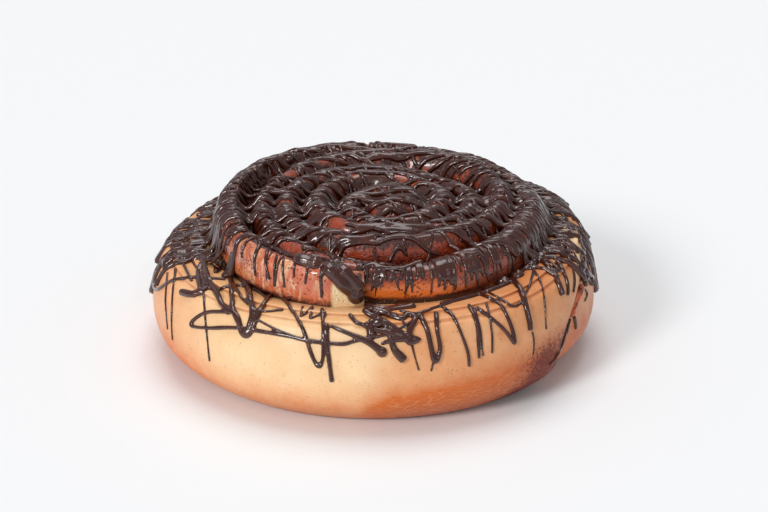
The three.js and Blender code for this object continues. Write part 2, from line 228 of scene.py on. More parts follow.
LEFT_STRANDS = {
    "edge_drip": (3, 2, (168, 272), (166, 301), (168, 330)),
    "edge_drip_beside": (3, 2, (176, 268), (173, 294), (172, 323), (173, 341)),
    "edge_loop": (
        4, 4, (200, 248), (179, 253), (159, 268), (154, 277), (157, 290), (172, 281), (194, 278),
        (226, 280),
    ),
    "edge_stroke": (3, 3, (191, 239), (175, 247), (163, 261), (155, 275), (156, 286)),
    "edge_far": (3, 3, (186, 226), (172, 236), (160, 250), (153, 266), (153, 277)),
    "edge_level": (4, 3, (207, 252), (198, 259), (175, 259), (160, 265), (155, 274)),
    "edge_cross": (3, 3, (177, 236), (180, 256), (186, 270), (192, 282)),
    "edge_cross_low": (3, 3, (196, 240), (190, 254), (198, 270), (206, 286)),
    "inner_dark": (6, 5, (213, 254), (202, 264), (198, 276), (201, 292)),
    "inner_slant": (4, 4, (201, 258), (206, 272), (212, 288), (223, 306)),
    "short_thick": (7, 5, (181, 292), (197, 295), (209, 287)),
    "long_drip": (3, 2, (203, 265), (204, 294), (206, 323), (210, 362)),
    "wide_loop": (
        4, 4, (238, 313), (209, 312), (194, 320), (192, 326), (209, 328), (238, 328), (282, 335),
        (311, 341), (341, 344), (355, 341), (380, 336),
    ),
    "deep_loop": (
        6, 5, (201, 257), (209, 279), (219, 298), (226, 309), (238, 316), (242, 332), (247, 336),
        (253, 329), (259, 314), (267, 300), (272, 294),
    ),
    "loop_middle": (6, 7, (245, 279), (250, 298), (253, 314), (247, 335)),
    "loop_left": (5, 5, (229, 265), (232, 294), (234, 312), (244, 332)),
    "deep_vee": (
        4, 4, (282, 297), (291, 309), (303, 329), (310, 350), (316, 364), (320, 367), (323, 356),
        (323, 323), (322, 309),
    ),
    "vee_drip": (5, 4, (326, 323), (327, 341), (330, 367), (332, 382)),
    "low_stroke": (3, 8, (330, 326), (355, 336), (370, 343), (377, 348), (383, 353)),
    "dark_knot": (9, 7, (366, 322), (371, 330), (371, 339)),
    "slant": (3, 3, (258, 320), (282, 332), (311, 341)),
    "small_zigzag": (3, 3, (303, 306), (301, 317), (313, 307), (310, 319), (325, 312), (323, 319)),
    "tail": (4, 5, (349, 313), (355, 322), (364, 325), (370, 332), (370, 341)),
    "shelf_stroke": (4, 3, (214, 262), (226, 272), (238, 292), (250, 306), (262, 312), (284, 310)),
    "crossing": (4, 4, (198, 285), (214, 290), (236, 286), (256, 291), (268, 300)),
}

FACE_STRANDS = {
    "first": (4, 3, (261, 243), (255, 258), (256, 276)),
    "second": (4, 3, (269, 246), (266, 262), (270, 280)),
    "third": (4, 3, (279, 250), (275, 266), (275, 287)),
    "fourth": (3, 3, (286, 252), (283, 266), (285, 288)),
    "fifth": (3, 3, (309, 260), (305, 285)),
    "sixth": (4, 3, (324, 262), (321, 278), (322, 298)),
    "pool": (10, 14, (263, 244), (275, 250), (290, 257), (305, 262), (318, 265), (331, 266)),
    "pool_left": (13, 14, (326, 266), (335, 276), (346, 287), (355, 295)),
    "pool_right": (13, 14, (333, 262), (343, 271), (353, 281), (361, 290)),
}

RIGHT_STRANDS = {
    "blob_drip": (3, 9, (385, 320), (390, 336), (394, 349), (400, 356), (405, 361)),
    "thin_drip": (3, 2, (399, 316), (408, 331), (414, 354), (419, 371)),
    "thick_vee": (
        5, 5, (420, 316), (427, 330), (431, 348), (434, 360), (437, 360), (440, 348), (437, 330),
        (436, 311),
    ),
    "vee_drip": (2, 2, (433, 362), (431, 372)),
    "long_curve": (4, 3, (442, 307), (453, 317), (462, 336), (468, 354), (469, 367)),
    "pair_left": (4, 3, (468, 304), (476, 323), (478, 342), (479, 359)),
    "pair_right": (3, 2, (474, 308), (480, 330), (483, 357)),
    "thin_beside": (3, 2, (486, 302), (489, 316), (492, 336), (492, 354)),
    "narrow_loop": (
        4, 4, (476, 308), (492, 319), (505, 331), (514, 343), (513, 333), (508, 319), (500, 305),
        (486, 297), (477, 294),
    ),
    "open_loop": (3, 3, (483, 290), (500, 299), (514, 307), (523, 299), (531, 281), (534, 267)),
    "thick_drip": (6, 6, (512, 279), (520, 290), (525, 305), (529, 322), (530, 331)),
    "hair": (2, 1.5, (532, 331), (534, 342), (533, 356)),
    "long_thin": (3, 2, (531, 267), (540, 281), (544, 299), (546, 330)),
    "corner_thick": (5, 7, (538, 258), (551, 270), (558, 284), (562, 296)),
    "corner_beside": (5, 4, (552, 256), (561, 268), (567, 284), (567, 296)),
    "corner_thin": (4, 3, (560, 244), (570, 262), (574, 278), (573, 293)),
    "corner_long": (4, 3, (561, 240), (573, 254), (579, 268), (580, 282)),
    # contact_line lays a dark strand along the foot of the roll at the right: painted shade where the
    # roll meets the shelf.
    "contact_line": (6, 7, (508, 284), (524, 270), (538, 262), (552, 250), (560, 244)),
    "edge_thick": (6, 6, (583, 250), (590, 264), (595, 274)),
    "edge_below": (7, 6, (581, 256), (584, 271), (592, 279)),
    "shallow": (3.5, 3, (368, 337), (385, 335), (401, 328), (419, 316)),
    # under_roll, under_roll_thin and ledge_dark lay dark strands along the foot of the roll: painted
    # shade under its edge.
    "under_roll": (9, 6, (372, 311), (384, 313), (398, 316)),
    "under_roll_thin": (3, 4, (399, 311), (416, 313), (439, 307), (458, 300)),
    "ledge_dark": (5, 6, (440, 305), (472, 297), (496, 289), (512, 282)),
    "seam_spots": (3, 3, (578, 287), (584, 288), (587, 294), (584, 302)),
    "seam_drip": (5, 3, (573, 316), (575, 322), (575, 330)),
    "seam_drip_low": (3, 6, (570, 318), (567, 327), (565, 334)),
    "seam_crack": (3, 2.4, (565, 334), (561, 347), (556, 357), (549, 365)),
}

SEAM_BEADS = {
    "upper": (8, 6, (581, 286), (578, 293), (575, 302), (572, 310), (570, 317)),
}

# Drops, by their width in pixels and their middle pixel

BLOBS = {
    "low_end": (10, (382, 352)),
    "loop_bottom": (9, (246, 333)),
    "vee_bottom": (6, (318, 365)),
    "short_knot": (9, (196, 294)),
    "under_roll": (12, (378, 322)),
    "left_knot": (8, (229, 311)),
    "pool_end": (17, (356, 295)),
    "corner_first": (15, (503, 283)),
    "corner_second": (14, (517, 276)),
    "corner_third": (15, (530, 267)),
    "corner_fourth": (13, (541, 258)),
    "crest_left": (10, (289, 160)),
    "crest_right": (10, (484, 166)),
}

# Bare patches of glaze between the strands, by their middle pixel and half width in pixels

BARE_PATCHES = {
    "back_left": (12, (289, 175)),
    "front_wide": (22, (284, 247)),
    "front_next": (17, (345, 256)),
    "middle": (13, (338, 227)),
    "heart": (9, (365, 227)),
    "behind_heart": (8, (360, 210)),
    "right_front": (11, (390, 253)),
    "right_next": (8, (414, 254)),
    "right_face": (12, (478, 250)),
    "back_crust": (9, (370, 145)),
    "back_crust_right": (10, (423, 147)),
    "outer_left": (8, (212, 210)),
}

# Places where two turns gape, where no strand lies over the gap and painted shade darkens the glaze,
# by the same two values

OPEN_GAPS = {
    "left_front": (9, (248, 199)),
    "left_middle": (10, (261, 187)),
    "left_back": (9, (276, 175)),
    "right_back": (9, (438, 171)),
    "right_middle": (10, (449, 181)),
    "right_front": (9, (458, 194)),
}

# Materials


class Value:
    """A socket in a material. Arithmetic on it adds Math nodes."""

    def __init__(self, finish, socket):
        self.finish = finish
        self.socket = socket

    def math(self, operation, first, second=0.0):
        return self.finish.add("ShaderNodeMath", {"operation": operation}, {0: first, 1: second})

    def __add__(self, other):
        return self.math("ADD", self, other)

    def __sub__(self, other):
        return self.math("SUBTRACT", self, other)

    def __rsub__(self, other):
        return self.math("SUBTRACT", other, self)

    def __mul__(self, other):
        return self.math("MULTIPLY", self, other)

    __radd__ = __add__
    __rmul__ = __mul__

    def least(self, other):
        return self.math("MINIMUM", self, other)

    def most(self, other):
        return self.math("MAXIMUM", self, other)


class Finish:
    """A material with one Principled shader, and a method for each kind of step to it."""

    def __init__(self, name, tone=None):
        self.tone = tone
        self.material = bpy.data.materials.new(name)
        self.material.use_nodes = True
        self.tree = self.material.node_tree
        self.shader = self.tree.nodes["Principled BSDF"]
        place = self.tree.nodes.new("ShaderNodeTexCoord")
        self.place = Value(self, place.outputs["Object"])

    def feed(self, socket, value):
        if isinstance(value, Value):
            self.tree.links.new(value.socket, socket)
        elif socket.type == "RGBA" and len(value) == 3:
            socket.default_value = (*value, 1)
        else:
            socket.default_value = value

    def add(self, kind, settings, inputs, output=0):
        """Any node: its settings first, then the values or links of its sockets."""
        node = self.tree.nodes.new(kind)
        for name, value in settings.items():
            setattr(node, name, value)
        for name, value in inputs.items():
            self.feed(node.inputs[name], value)
        return Value(self, node.outputs[output])

    def attribute(self, name):
        return self.add("ShaderNodeAttribute", {"attribute_name": name}, {}, "Fac")

    def axis(self, name):
        return self.add("ShaderNodeSeparateXYZ", {}, {0: self.place}, name)

    def stretched(self, x, y, z):
        """The place on the piece, squeezed along each axis by these factors."""
        inputs = {"Vector": self.place, "Scale": (x, y, z)}
        return self.add("ShaderNodeMapping", {}, inputs)

    def noise(self, size, detail=3, rough=0.5, twist=0, place=None):
        """Noise from 0 to 1 with lumps of this size in metres."""
        inputs = {
            "Vector": place or self.place,
            "Scale": 1 / size,
            "Detail": detail,
            "Roughness": rough,
            "Distortion": twist,
        }
        return self.add("ShaderNodeTexNoise", {}, inputs, "Fac")

    def cells(self, size, feature="F1", place=None):
        inputs = {"Vector": place or self.place, "Scale": 1 / size}
        return self.add("ShaderNodeTexVoronoi", {"feature": feature}, inputs, "Distance")

    def step(self, value, low, high):
        """0 below low and 1 above high, with a soft step between."""
        settings = {"interpolation_type": "SMOOTHSTEP"}
        inputs = {"Value": value, "From Min": low, "From Max": high}
        return self.add("ShaderNodeMapRange", settings, inputs)

    def mixed(self, first, second, share):
        """A colour between two others."""
        inputs = {0: share, 6: first, 7: second}
        return self.add("ShaderNodeMix", {"data_type": "RGBA"}, inputs, 2)

    def over(self, colour, share):
        """Lays a colour over the tone so far."""
        self.tone = self.mixed(self.tone, colour, share)

    def bump(self, height, depth):
        """A normal from a height between 0 and 1 that stands for this depth in metres."""
        inputs = {"Height": height, "Distance": depth, "Strength": 1.0}
        return self.add("ShaderNodeBump", {}, inputs)

    def finished(self, **inputs):
        """Sets the shader's own sockets and returns the material."""
        inputs["Base_Color"] = self.tone
        for name, value in inputs.items():
            self.feed(self.shader.inputs[name.replace("_", " ")], value)
        return self.material


def crust_finish(tones):
    """Egg-washed crust: pale above the belly, toasted below it and brown near the seam."""
    skin = Finish("egg_washed_crust", tones.pale)
    x, z = skin.axis("X"), skin.axis("Z")
    clouds = skin.noise(38 * MM, 3, 0.5)
    drift = (clouds - 0.5) * 30 * MM
    mottle = skin.noise(7 * MM, 3, 0.6)
    low = 1 - skin.step(z + drift * 0.6, 5 * MM, 28 * MM)
    below = 1 - skin.step(z + drift, 8 * MM, 36 * MM)
    middle = skin.step(x + drift, -12 * MM, 26 * MM)
    right = skin.step(x + drift, 20 * MM, 95 * MM)
    left = 1 - skin.step(x + drift, -102 * MM, -60 * MM)
    shelf = skin.step(z + drift * 0.1, 44 * MM, 50 * MM)
    warm = skin.step(clouds, 0.42, 0.62) * 0.35 + shelf * 0.6 + (mottle - 0.45) * 0.5
    skin.over(tones.golden, warm.most(0).least(1))
    baked = low * (0.7 + 0.45 * middle) + middle * (0.45 + 0.9 * below) + left * 0.5
    skin.over(tones.toasted, (baked * (0.75 + 0.5 * mottle)).least(1))
    browned = (right * 0.28 + middle * below * 0.4) * (0.7 + 0.6 * mottle)
    skin.over(tones.brown, browned.least(1))
    edge = 1 - skin.step(z + drift * 0.12, 0.5 * MM, 9 * MM)
    skin.over(tones.brown, edge * (0.35 + 0.35 * middle))
    wrinkled = skin.stretched(0.3, 0.3, 1.7)
    threads = skin.cells(2.2 * MM, "DISTANCE_TO_EDGE", wrinkled)
    veins = 1 - skin.step(threads, 0.01, 0.1)
    darkened = ((low + below) * (0.2 + 0.5 * middle)).least(1)
    skin.over(tones.pale, veins * darkened * 0.22)
    freckles = skin.step(skin.noise(1.1 * MM, 2, 0.7), 0.58, 0.74)
    skin.over(tones.brown, freckles * (0.05 + 0.4 * darkened))
    spots = (1 - skin.step(skin.cells(30 * MM), 0.05, 0.16)) * skin.step(mottle, 0.35, 0.6)
    skin.over(tones.brown, spots * 0.5)
    stain = skin.attribute("stain")
    grit = skin.noise(1.5 * MM, 3, 0.8)
    skin.over(tones.brown, stain * 0.8)
    burnt = skin.step(stain * 0.8 + (grit - 0.5) * 2.4, 0.2, 0.8)
    skin.over(tones.dark, burnt * 0.9)
    # Painted shade along the shelf's two creases, in patches: the brown tone is laid where shade
    # falls in them.
    crease_shade = skin.attribute("crease_shade") * skin.step(clouds + mottle, 0.7, 1.1)
    skin.over(tones.brown, crease_shade * 0.55)
    skin.over(tones.crumb, skin.attribute("crumb"))
    pores = skin.noise(0.8 * MM, 3, 0.6)
    relief = skin.bump(pores * 0.4 + veins * 0.6 * darkened + grit * burnt, 0.16 * MM)
    return skin.finished(
        Roughness=0.46 - 0.12 * clouds + 0.15 * stain,
        Normal=relief,
        Subsurface_Weight=0.12,
        Subsurface_Radius=(0.006, 0.0025, 0.001),
        Specular_IOR_Level=0.35,
    )


def glaze_finish(tones):
    """Glazed, pitted dough of the roll, under a film of chocolate where it ran."""
    skin = Finish("glazed_dough", tones.glaze)
    clouds = skin.noise(13 * MM, 4, 0.6)
    fine = skin.noise(2.4 * MM, 4, 0.65)
    valley_shade = skin.attribute("valley_shade")
    crumb = skin.attribute("crumb")
    skin.over(tones.toasted, skin.step(clouds, 0.5, 0.75) * 0.6)
    crackle = skin.step(skin.noise(3.4 * MM, 5, 0.75, 1.2), 0.46, 0.62)
    skin.over(tones.deep_glaze_and_shade, crackle * 0.75)
    lower = 1 - skin.step(skin.axis("Z") + (clouds - 0.5) * 8 * MM, 55 * MM, 60 * MM)
    right = skin.step(skin.axis("X") + (clouds - 0.5) * 20 * MM, 26 * MM, 52 * MM)
    skin.over(tones.amber, lower * (1 - right) * 0.85)
    skin.over(tones.deep_glaze_and_shade, lower * right * 0.6)
    # Cream streaks on the coral front: partly the dough's own paler streaks, partly painted
    # highlight.
    cream_streaks_and_highlights = skin.noise(5 * MM, 4, 0.7, 0.8, skin.stretched(1, 1, 0.35))
    coral_with_highlights = skin.mixed(tones.coral, tones.crumb, skin.step(cream_streaks_and_highlights, 0.44, 0.66) * 0.6)
    skin.over(coral_with_highlights, skin.attribute("coral"))
    pits = 1 - skin.step(skin.cells(1.7 * MM), 0.12, 0.42)
    pitted = pits * skin.step(skin.noise(6 * MM), 0.35, 0.6)
    skin.over(tones.deep_glaze_and_shade, pitted * 0.75)
    # Painted shade: darker down the valleys between the turns, at the foot of the outermost turn's
    # face and where turns gape, and as dark as the filling deepest down.
    skin.over(tones.deep_glaze_and_shade, skin.step(valley_shade + (fine - 0.5) * 0.7, 0.35, 0.85))
    skin.over(tones.filling, skin.step(valley_shade + (fine - 0.5) * 0.3, 0.7, 1.0))
    spread = skin.attribute("film") + (clouds - 0.5) * 1.4 + (fine - 0.5) * 0.8
    skin.over(tones.chocolate, skin.step(spread, 0.42, 0.6) * 0.93)
    holes = 1 - skin.step(skin.cells(1.2 * MM), 0.1, 0.4)
    skin.over(skin.mixed(tones.crumb, tones.golden, holes * 0.5), crumb)
    relief = skin.bump(fine * 0.7 - pitted * 0.8, 0.5 * MM)
    return skin.finished(
        Roughness=0.16 + 0.24 * fine + 0.3 * crumb,
        Normal=relief,
        Subsurface_Weight=0.08,
        Subsurface_Radius=(0.005, 0.002, 0.001),
        Coat_Weight=0.6,
        Coat_Roughness=0.06,
    )


def chocolate_finish(tones):
    """Set chocolate: dark, softly glossy, with a faint bloom."""
    skin = Finish("set_chocolate", tones.chocolate)
    bloom = skin.noise(9 * MM, 4, 0.6)
    skin.over(tuple(channel * 1.8 for channel in tones.chocolate), skin.step(bloom, 0.45, 0.75))
    relief = skin.bump(skin.noise(1.5 * MM, 2, 0.5), 0.12 * MM)
    return skin.finished(
        Roughness=0.14 + 0.2 * bloom,
        Normal=relief,
        Specular_IOR_Level=0.5,
        Coat_Weight=0.5,
        Coat_Roughness=0.04,
    )


def filling_finish(name, tone, darker):
    """Baked filling: moist, uneven, with darker patches."""
    skin = Finish(name, tone)
    clouds = skin.noise(4 * MM, 4, 0.65)
    skin.over(darker, skin.step(clouds, 0.5, 0.66))
    relief = skin.bump(clouds, 0.6 * MM)
    return skin.finished(
        Roughness=0.25 + 0.25 * clouds,
        Normal=relief,
        Coat_Weight=0.4,
        Coat_Roughness=0.15,
    )


def floor_finish():
    return Finish("pale_floor", (0.9, 0.905, 0.915)).finished(Roughness=0.7)


# Making pieces


def add_piece(name, mesh, material, slot=None, node=None):
    """Puts a finished mesh in the scene. Given a slot it rides on the bun, and given a node it hides
    that imported solid, which it stands in for.
    """
    for face in mesh.polygons:
        face.use_smooth = True
    mesh.materials.clear()
    mesh.materials.append(material)
    piece = bpy.data.objects.new(name, mesh)
    bpy.context.scene.collection.objects.link(piece)
    if slot:
        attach(piece, "root")
    if node:
        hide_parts(node)
    return piece


def lofted(name, columns, rows, place, masks=()):
    """Bends a grid to a closed surface. place(column, row) gives a point and its masks' values."""
    form = bmesh.new()
    bmesh.ops.create_grid(form, x_segments=columns, y_segments=rows, size=0.5)
    layers = [form.verts.layers.float.new(mask) for mask in masks]
    for vertex in form.verts:
        column = round((vertex.co.x + 0.5) * columns)
        row = round((vertex.co.y + 0.5) * rows)
        vertex.co, values = place(column, row)
        for layer, value in zip(layers, values):
            vertex[layer] = value
    bmesh.ops.remove_doubles(form, verts=form.verts, dist=1e-6)
    open_edges = [edge for edge in form.edges if edge.is_boundary]
    bmesh.ops.holes_fill(form, edges=open_edges, sides=0)
    bmesh.ops.recalc_face_normals(form, faces=form.faces)
    mesh = bpy.data.meshes.new(name)
    form.to_mesh(mesh)
    form.free()
    return mesh


# Outer ring

# Places on the ring's outline, counted in its corners: how many there are, where the seam opens
# and closes, where the shelf begins, its two creases, and what the seam's filling spans

OUTLINE_SPANS = 14
SEAM_OPENS = (1.6, 2.6)
SEAM_CLOSES = (11.2, 13)
SHELF_CORNER = 11
CREASES = (8.4, 10.4)
FILLED = (3.2, 7.6)

# Steps round the ring, along its lap and over the lap's edge, and round its outline

ROUND_STEPS, LAP_STEPS, EDGE_STEPS, OUTLINE_STEPS = 760, 32, 8, 112

# Unevenness of the dough, in layers of a height, a size and a draw

RING_BUMPS = ((0.9 * MM, 38 * MM, 1), (0.35 * MM, 12 * MM, 2), (0.12 * MM, 3.4 * MM, 3))
ROLL_BUMPS = ((1 * MM, 17 * MM, 4), (0.7 * MM, 7 * MM, 5), (0.25 * MM, 2.2 * MM, 6))


def uneven(point, layers):
    return sum(height * lumps(point, size, draw) for height, size, draw in layers)


def seam_turn(height, ring):
    """How far round the slanting seam has gone by a height."""
    rise = min(1, max(0, (height - 3 * MM) / (ring.height - 3 * MM)))
    return ring.seam_lean * rise**3.7


def near_seam(turned):
    """How much a place this far round from the seam slants along with it."""
    return 1 - smooth(min(turned, TAU - turned), 0.25, 1.3)


def ring_outline(angle, ring):
    """Out from the base, up the belly to the shoulder, and in up two shallow steps to the roll."""
    wobble = 0.5 * math.sin(2 * angle + 0.6) + 0.3 * math.sin(5 * angle)
    r = ring.radius - (0.5 - wobble) * MM
    rise = ring.high_side * max(0, math.cos(angle - ring.high_angle)) ** 3
    top = ring.height + rise + (math.sin(angle + 2.4) + 0.5 * math.sin(3 * angle)) * MM
    corners = [
        (ring.inner_radius, 0),
        (r - 40 * MM, 0),
        (r - 18 * MM, 0),
        (r - 10 * MM, 3.4 * MM),
        (r - 2 * MM, 12.5 * MM),
        (r, ring.belly),
        (r - 1.8 * MM, 34 * MM + rise),
        (r - 6 * MM, top - 6 * MM),
        (r - 8.6 * MM, top - 3.7 * MM),
        (r - 9.4 * MM, top - 2.2 * MM),
        (r - 13.4 * MM, top - 1.6 * MM),
        (r - 14.2 * MM, top - 0.1 * MM),
        (r - 20 * MM, top - 0.8 * MM),
        (r - 24 * MM, top - 1.5 * MM),
        (ring.inner_radius, top - 3 * MM),
    ]
    return [Vector((radius, height)) for radius, height in corners]


def ring_stations(ring):
    """Places round the ring from its seam, clockwise: how far turned, lapped and set in.

    Past the full turn they go in under the lap, and come back along its underside to its edge.
    """
    edge = ring.lap_start / ring.radius
    stations = []
    for i in range(ROUND_STEPS + 1):
        turned = mix(edge, TAU, i / ROUND_STEPS)
        behind = TAU - turned
        inset = ring.seam_step * max(0, 1 - behind / 1.2) ** 2
        inset += (ring.lap_start + ring.lap_gap - ring.seam_step) * math.exp(-behind / 0.04)
        stations.append((turned, 0, inset))
    for i in range(1, LAP_STEPS + 1):
        share = i / LAP_STEPS
        under = mix(ring.lap_start, ring.lap_end, share)
        stations.append((TAU, share * ring.lap, under + ring.lap_gap))
    for i in range(LAP_STEPS + 1):
        share = 1 - i / LAP_STEPS
        stations.append((TAU, share * ring.lap, mix(ring.lap_start, ring.lap_end, share)))
    for i in range(1, EDGE_STEPS):
        bend = i / EDGE_STEPS * math.pi / 2
        back = edge * (1 - math.cos(bend))
        stations.append((TAU, -back, ring.lap_start * (1 - math.sin(bend))))
    return stations


def ring_point(base_angle, outline_place, lapped, inset, slanted, ring):
    """A point on the ring: set in from its outline, and moved round with the slanting seam."""
    open_seam = smooth(outline_place, *SEAM_OPENS) * (1 - smooth(outline_place, *SEAM_CLOSES))
    flat = curve_point(ring_outline(base_angle, ring), outline_place)
    height = max(flat.y, ring.height if outline_place > SHELF_CORNER else 0)
    angle = base_angle - lapped * open_seam + seam_turn(height, ring) * slanted
    flat = curve_point(ring_outline(angle, ring), outline_place)
    core = Vector((ring.radius - 26 * MM, ring.belly))
    flat += (core - flat).normalized() * inset * open_seam
    flat.y = max(0, flat.y)
    return angle, flat


def ring_mesh(ring, roll):
    stations = ring_stations(ring)
    rows, columns = OUTLINE_STEPS, len(stations)

    def place(column, row):
        turned, lapped, inset = stations[column % columns]
        outline_place = (row % rows) / rows * OUTLINE_SPANS
        slanted = near_seam(turned)
        base_angle = ring.seam_angle - turned
        angle, flat = ring_point(base_angle, outline_place, lapped, inset, slanted, ring)
        point = around(angle, flat.x - left_draw(flat.x, angle, roll)).to_3d() + UP * flat.y
        outward = around(angle).to_3d()
        shown = smooth(flat.y, 0, 8 * MM)
        point += (outward * 0.7 + UP * 0.5) * uneven(point, RING_BUMPS) * shown
        along = -turned * ring.radius
        stain = bell(along, -9 * MM, 14 * MM) * (1 - smooth(flat.y, 20 * MM, 36 * MM))
        stain += 0.6 * bell(along, -16 * MM, 26 * MM) * (1 - smooth(flat.y, 4 * MM, 13 * MM))
        stain += 0.8 * (turned == TAU) * (1 - smooth(flat.y, 24 * MM, 36 * MM))
        corner = bell(turned * ring.radius, 5 * MM, 9 * MM) * smooth(flat.y, 42 * MM, 48 * MM)
        # The crease mask marks where painted shade goes along the shelf's two creases.
        crease_shade = sum(bell(outline_place, middle, 0.3) for middle in CREASES)
        return point, (min(1, stain), 0.8 * corner * (outline_place < 12), min(1, crease_shade))

    return lofted("outer_ring", columns, rows, place, ("stain", "crumb", "crease_shade"))


def seam_filling_mesh(ring):
    """An uneven sheet in the lap, which bulges out a little along the seam."""
    rows, columns = 90, 110

    def place(column, row):
        outline_place = mix(*FILLED, column / columns)
        share = (row % rows) / rows
        depth = abs(1 - 2 * share)
        side = math.copysign(min(1, (1 - depth) * 9, depth * 30) ** 0.5, share - 0.5)
        bulge = 1.2 * MM * lumps(Vector((column * 0.09, 0, 0)), 1, 8)
        lapped = mix(-1.6 * MM / ring.radius, ring.lap * 0.97, 1 - depth)
        lapped -= depth**40 * bulge / ring.radius
        middle = mix(ring.lap_start, ring.lap_end, 1 - depth) + 0.5 * ring.lap_gap
        inset = middle + side * 0.4 * ring.lap_gap
        angle, flat = ring_point(ring.seam_angle, outline_place, lapped, inset, 1, ring)
        point = around(angle, flat.x).to_3d() + UP * flat.y
        return point + around(angle).to_3d() * 0.35 * MM * lumps(point, 4 * MM, 9) * depth**8, ()

    return lofted("seam_caramel", columns, rows, place)


# Inner roll, described by how many turns a place on it is from its outer end


TAPER_TURNS = 0.22
FACET_TURNS = 0.026

# Where the strip's top leans outwards or inwards, so that two stretches of the roll gape: the
# middle and the reach in turns, and how far. At the left the crest's inner side is missing too

LEANS = (
    (0.29, 0.09, 0.4 * MM),
    (1.29, 0.09, -2.4 * MM),
    (1.59, 0.08, 3.2 * MM),
    (2.59, 0.09, -6 * MM),
)
MISSING = (0.29, 0.1, 8 * MM)

# How far along the strip its front lies lower, and where it dips beside its end

FRONT_TURNS = (0.08, 0.25)
BESIDE_END = (0.93, 0.1)

# Shares of a turn's section that end its inner wall and begin its outer wall

INNER_WALL, OUTER_WALL = 0.14, 0.8

# Radii between which the turns come to lie in at the left, and the ring's wall no longer does

DRAWN_FROM = (38 * MM, 78 * MM)
DRAWN_TO = (83 * MM, 99 * MM)


def dough_thickness(turn, roll):
    full = roll.outer_thickness if turn < 1 else roll.inner_thickness
    taper = min(1, turn / TAPER_TURNS)
    wobble = 0.5 * MM * math.sin(9 * turn) * min(1, turn)
    return roll.end_thickness * (1 - taper) + full * taper + wobble


def roll_outer(turn, roll):
    """Radius of the strip's outward face. Each turn lies inside the one before it."""
    if turn > 1:
        return roll_outer(turn - 1, roll) - dough_thickness(turn - 1, roll) - roll.slit
    return roll.radius - (roll.end_thickness + roll.slit) * max(0, turn) ** 1.5


def roll_inner(turn, roll):
    if turn + 1 <= roll.turns:
        return roll_outer(max(0, turn) + 1, roll) + roll.slit
    closing = 15 * MM * smooth(turn, roll.turns - 1, roll.turns - 0.8)
    return max(0.6 * MM, roll_outer(turn, roll) - roll.inner_thickness - closing)


def roll_top(turn, roll):
    """Height of the strip's crest, which is lower at its end, at the front and on the outer turn."""
    drop = 2 * MM * (1 - smooth(turn, 0.3, 1.7)) + 1 * MM * max(0, 1 - turn / 0.1)
    drop += roll.front_drop * (1 - smooth(turn, *FRONT_TURNS))
    drop += roll.beside_end_drop * bell(turn, *BESIDE_END)
    wobble = (1.2 * math.sin(4.1 * turn + 1) + 0.6 * math.sin(17 * turn)) * MM
    return roll.height - drop + wobble


def roll_angle(turn, roll):
    return roll.end_angle - turn * TAU


def left_draw(radius, angle, roll):
    """How far the roll's outer turns, and the shelf beside them, lie in at the left."""
    left = max(0, math.cos(angle - roll.left_angle)) ** 3
    return roll.left_draw * left * smooth(radius, *DRAWN_FROM) * (1 - smooth(radius, *DRAWN_TO))


def on_roll(radius, angle, height, roll):
    """The heart lies off the middle, and all inside the outermost turn is drawn towards it."""
    pull = max(0, 1 - (radius / roll.radius) ** 2)
    drawn = radius - left_draw(radius, angle, roll)
    flat = around(angle, drawn) + Vector(roll.shift) * pull
    return flat.to_3d() + UP * height


def roll_section(turn, share, roll):
    """Radius and height on a turn's section: up its inner wall, over, and down its outer wall."""
    outer, inner, top = roll_outer(turn, roll), roll_inner(turn, roll), roll_top(turn, roll)
    if turn < 0:
        outer = mix(outer, inner + 0.8 * MM, (-turn / FACET_TURNS) ** 0.9)
    crown = roll.crown
    bulge = 2.4 * MM * (1 - smooth(turn, 0.9, 1)) * smooth(turn, -FACET_TURNS, 0.01)
    if share < INNER_WALL:
        radius, height = inner, (top - crown) * share / INNER_WALL
    elif share > OUTER_WALL:
        down = (share - OUTER_WALL) / (1 - OUTER_WALL)
        radius, height = outer, (top - crown) * (1 - down)
        radius += bulge * max(0, 1 - down * 2.2)
    else:
        bend = math.pi * (1 - (share - INNER_WALL) / (OUTER_WALL - INNER_WALL))
        across = math.copysign(abs(math.cos(bend)) ** 0.85, math.cos(bend))
        half = (outer - inner) / 2 + (bulge if across > 0 else 0)
        radius = (outer + inner) / 2 + half * across
        height = top - crown + crown * math.sin(bend) ** 0.8
        rise = max(0, height - top + crown) / crown
        middle, reach, missing = MISSING
        lean = sum(far * bell(turn, place, near) for place, near, far in LEANS)
        radius += (lean + missing * bell(turn, middle, reach) * max(0, -across)) * rise
    return radius, height


